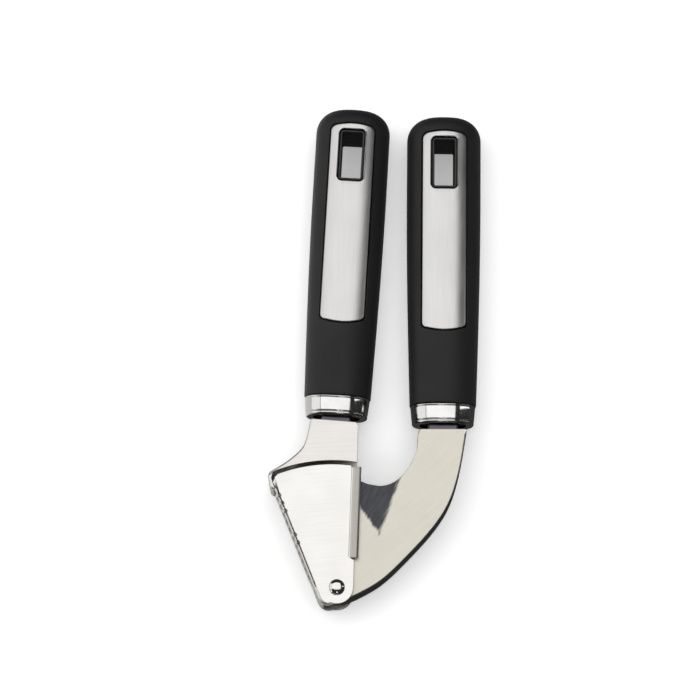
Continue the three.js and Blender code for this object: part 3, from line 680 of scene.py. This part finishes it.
def rounded_end(height, top, radius):
    over = max(0, height - (top - radius))
    return radius - math.sqrt(max(0, radius ** 2 - over ** 2))


def grip_station(height, inset, top):
    swell = math.sin(math.pi / 2 * min(1, max(0, height - GRIP_LOW) / (FULL_AT - GRIP_LOW)))
    width = NECK_WIDTH + (FULL_WIDTH - NECK_WIDTH) * swell
    thick = NECK_THICK + (FULL_THICK - NECK_THICK) * swell
    return (height, width - inset - rounded_end(height, top, END_WIDTH - inset),
            thick - inset - rounded_end(height, top, END_THICK))


def grip_body(low, inset, top):
    round_from = top - END_WIDTH + inset
    heights = [low + (round_from - low) * i / 54 for i in range(54)]
    heights += [round_from + (top - round_from) * math.sin(math.radians(a)) for a in range(0, 88, 8)]
    return loft([grip_station(height, inset, top) for height in heights + [top - 0.02]])


INLAY_HALF = 8.65
INLAY_LOW, INLAY_HIGH = 35.4, 115.8
INLAY_CORNER = 3.4


def inlay_outline(margin):
    half, low, high = INLAY_HALF + margin, INLAY_LOW - margin, INLAY_HIGH + margin
    right = bend((half - 1.9, low + 1), (half, low + 1.5), (half, low + 3.2), 5)
    inward = half - INLAY_CORNER
    right += bend((half, high - INLAY_CORNER), (half, high - 0.9), (inward, high - 0.5), 8)
    top = bend((inward, high - 0.5), (0, high + 0.5), (-inward, high - 0.5), 8)[1:-1]
    left = [(-x, y) for x, y in reversed(right)]
    return right + top + left + bend((1.9 - half, low + 1), (0, low - 0.9), (half - 1.9, low + 1), 8)[1:-1]


def eye_outline(inset):
    half_x, half_y, radius = 5.15 - inset, 10.5 - inset, max(0.6, 1.8 - inset)
    made = []
    for turn, x, y in ((0, 1, 1), (90, -1, 1), (180, -1, -1), (270, 1, -1)):
        centre = (x * (half_x - radius), EYE_MIDDLE + y * (half_y - radius))
        made += arc(centre, radius, turn, turn + 90, 6)
    return made


rubber = bpy.data.materials.new("soft_touch_rubber")
rubber.use_nodes = True
tree = rubber.node_tree
tree.nodes.clear()
place = add(tree, "ShaderNodeTexCoord")
# The moulded skin has a fine spark texture of 0.05 mm; it is drawn at 0.5 mm, the finest that shows.
skin = add(tree, "ShaderNodeTexNoise", {
    "Vector": place.outputs["Object"], "Scale": 1 / (0.5 * MM), "Detail": 3.0})
rubbed = add(tree, "ShaderNodeTexNoise", {
    "Vector": place.outputs["Object"], "Scale": 1 / (22 * MM), "Detail": 4.0})
dust = add(tree, "ShaderNodeTexNoise", {
    "Vector": place.outputs["Object"], "Scale": 1 / (1.1 * MM), "Detail": 2.0})
specks = add(tree, "ShaderNodeMapRange", {
    "Value": dust.outputs[0], "From Min": 0.66, "From Max": 0.8, "To Max": 0.5})
black = add(tree, "ShaderNodeMix", {
    0: rubbed.outputs[0], 6: linear("#0b0b0c"), 7: linear("#141416")}, data_type="RGBA")
dusty = add(tree, "ShaderNodeMix", {
    0: specks.outputs[0], 6: black.outputs[2], 7: linear("#262629")}, data_type="RGBA")
matt = add(tree, "ShaderNodeMapRange", {
    "Value": rubbed.outputs[0], "From Min": 0.3, "From Max": 0.7, "To Min": 0.5, "To Max": 0.62})
pebble = add(tree, "ShaderNodeBump", {"Height": skin.outputs[0], "Strength": 0.35, "Distance": 0.03 * MM})
skin_shader = add(tree, "ShaderNodeBsdfPrincipled", {
    "Base Color": dusty.outputs[2], "Roughness": matt.outputs[0], "Normal": pebble.outputs[0],
    "IOR": 1.5, "Sheen Weight": 0.06, "Sheen Roughness": 0.5})
add(tree, "ShaderNodeOutputMaterial", {"Surface": skin_shader.outputs[0]})
for side, body in BODY.items():
    inside = slab([(-20, 0), (20, 0), (20, 130), (-20, 130)], -SEAT, SEAT)
    cavity = joined(grip_body(GRIP_LOW - 1, SLEEVE_WALL, GRIP_HIGH - SLEEVE_WALL), ("INTERSECT", inside))
    windows = slab(inlay_outline(0.3), -20, 20)
    sleeve = joined(grip_body(GRIP_LOW, 0, GRIP_HIGH), ("DIFFERENCE", cavity), ("DIFFERENCE", windows))
    piece(side + "_rubber_sleeve", sleeve, PLACE[side], body, rubber,
          side + "_grip_sleeve", 0.3)

# Inlays: stamped stainless plates, brushed along the handle, crowned to its curve and set flush
# in the front and back windows. Each has the hang hole punched through it.
inlay_steel = {}
for side, body in BODY.items():
    lean = math.degrees(PLACE[side].to_euler().z)
    inlay_steel[side] = satin_steel(
        "brushed_stainless_" + side + "_inlay", "#dcdbd9", "#6f6e6d", 90 + lean, 0.3, 0.04)
    for face, name in ((1, "front"), (-1, "back")):
        plate = joined(slab(inlay_outline(0), 0, 1), ("DIFFERENCE", slab(eye_outline(0), -1, 2)))
        cuts = [((x, 0, 0), (1, 0, 0)) for x in (-8, -7, -5.4, -3.6, -1.2, 1.2, 3.6, 5.4, 7, 8)]
        cuts += [((0, y, 0), (0, 1, 0)) for y in range(40, 115, 5)]
        for spot, painted_shade_mix in cuts:
            bmesh.ops.bisect_plane(plate, geom=plate.verts[:] + plate.edges[:] + plate.faces[:], dist=1e-5,
                                   plane_co=spot, plane_no=painted_shade_mix)
        for v in plate.verts:
            _, width, thick = grip_station(v.co.y, -0.2, GRIP_HIGH + 0.2)
            top = thick * (1 - abs(v.co.x / width) ** FULLNESS) ** (1 / FULLNESS)
            v.co.z = face * (top if v.co.z > 0.5 else SEAT)
        piece(side + "_" + name + "_plate", plate, PLACE[side], body, inlay_steel[side],
              side + "_" + name + "_inlay", 0.45, 50)

# Hang-hole liners: black nylon eyelets with a rounded rectangular hole right through the grip.
nylon = bpy.data.materials.new("moulded_black_nylon")
nylon.use_nodes = True
tree = nylon.node_tree
tree.nodes.clear()
place = add(tree, "ShaderNodeTexCoord")
mould = add(tree, "ShaderNodeTexNoise", {
    "Vector": place.outputs["Object"], "Scale": 1 / (0.8 * MM), "Detail": 3.0})
flow = add(tree, "ShaderNodeTexNoise", {
    "Vector": place.outputs["Object"], "Scale": 1 / (8 * MM), "Detail": 2.0})
tone = add(tree, "ShaderNodeMix", {
    0: flow.outputs[0], 6: linear("#0d0d0e"), 7: linear("#1a1a1b")}, data_type="RGBA")
gloss = add(tree, "ShaderNodeMapRange", {
    "Value": mould.outputs[0], "From Min": 0.3, "From Max": 0.7, "To Min": 0.3, "To Max": 0.48})
grain = add(tree, "ShaderNodeBump", {"Height": mould.outputs[0], "Strength": 0.2, "Distance": 0.02 * MM})
shell = add(tree, "ShaderNodeBsdfPrincipled", {
    "Base Color": tone.outputs[2], "Roughness": gloss.outputs[0], "Normal": grain.outputs[0], "IOR": 1.53})
add(tree, "ShaderNodeOutputMaterial", {"Surface": shell.outputs[0]})
EYE_DEPTH = 10.8
for side, body in BODY.items():
    hole = slab(eye_outline(1.2), -20, 20)
    eyelet = joined(slab(eye_outline(0.3), -EYE_DEPTH, EYE_DEPTH), ("DIFFERENCE", hole))
    piece(side + "_hole_liner", eyelet, PLACE[side], body, nylon,
          side + "_hang_eyelet", 0.25)

# Ferrules: drawn stainless collars, buffed to a mirror, with a rolled bead round the lower rim
# and a fine turned lip at the top where the rubber begins.
FERRULE_HEIGHT = 6.6
ferrule_profile = [
    (-0.55, 3.0), (-0.8, 2.9), (-0.9, 2.6), (-0.9, 1.6), (-0.9, 0.9), (-0.82, 0.45), (-0.6, 0.12),
    (-0.3, 0.01), (0.05, 0.03), (0.35, 0.16), (0.5, 0.34), (0.6, 0.2), (0.72, 0.07), (0.9, 0.03),
    (2.0, 0.02), (4.0, 0.02), (5.5, 0.05), (5.68, 0.12), (5.76, 0.3), (5.84, 0.14), (6.0, 0.03),
    (6.25, 0), (6.48, 0.1), (6.58, 0.35), (6.6, 0.7), (6.5, 0.98), (3, 1), (1, 1), (-0.3, 1.2)]
ferrule_stations = [
    (h, 12.1 + 0.6 * h / FERRULE_HEIGHT - inset, 9.7 + 0.5 * h / FERRULE_HEIGHT - inset)
    for h, inset in ferrule_profile]
for side, body in BODY.items():
    piece(side + "_rolled_collar", loft(ferrule_stations, ring=True, sides=96), PLACE[side], body,
          mirror_steel, side + "_ferrule", 0)

# Tangs: flat steel bars, welded into the folded necks, painted a dark grey that stands in for the shade and
# dark reflection they show between neck and ferrule. The plugs, cores and screws inside the handles keep the
# CAD shapes.
# Painted shade: the bar's dark grey base colour.
tang_steel_painted_dark = satin_steel("bar_steel_painted_dark", "#7b7a81", "#4f4e52", 0, 0.42, 0.06)
BAR_SIZE = (11.8, 86, 4, 1)
ROOT_SIZE, ROOT_MIDDLE = (10.8, 9.8, 11.2, 1), -6.1
for side, body in BODY.items():
    bar = bmesh.new()
    bar_place = Matrix.Translation((0, TANG_MIDDLE, 0)) @ Matrix.Diagonal(BAR_SIZE)
    bmesh.ops.create_cube(bar, size=1, matrix=bar_place)
    root = bmesh.new()
    root_place = Matrix.Translation((0, ROOT_MIDDLE, 0)) @ Matrix.Diagonal(ROOT_SIZE)
    bmesh.ops.create_cube(root, size=1, matrix=root_place)
    tang = joined(bar, ("UNION", root), ("DIFFERENCE", post(1.7, -6, 6, 0, 58, 24)))
    piece(side + "_welded_bar", tang, PLACE[side], body, tang_steel_painted_dark, side + "_tang", 0.35)
    for part, finish in (("ferrule_plug", nylon), ("handle_core", nylon), ("handle_screw", plain_steel)):
        node = frame["nodes"][side + "_" + part]
        node.data.materials.clear()
        node.data.materials.append(finish)
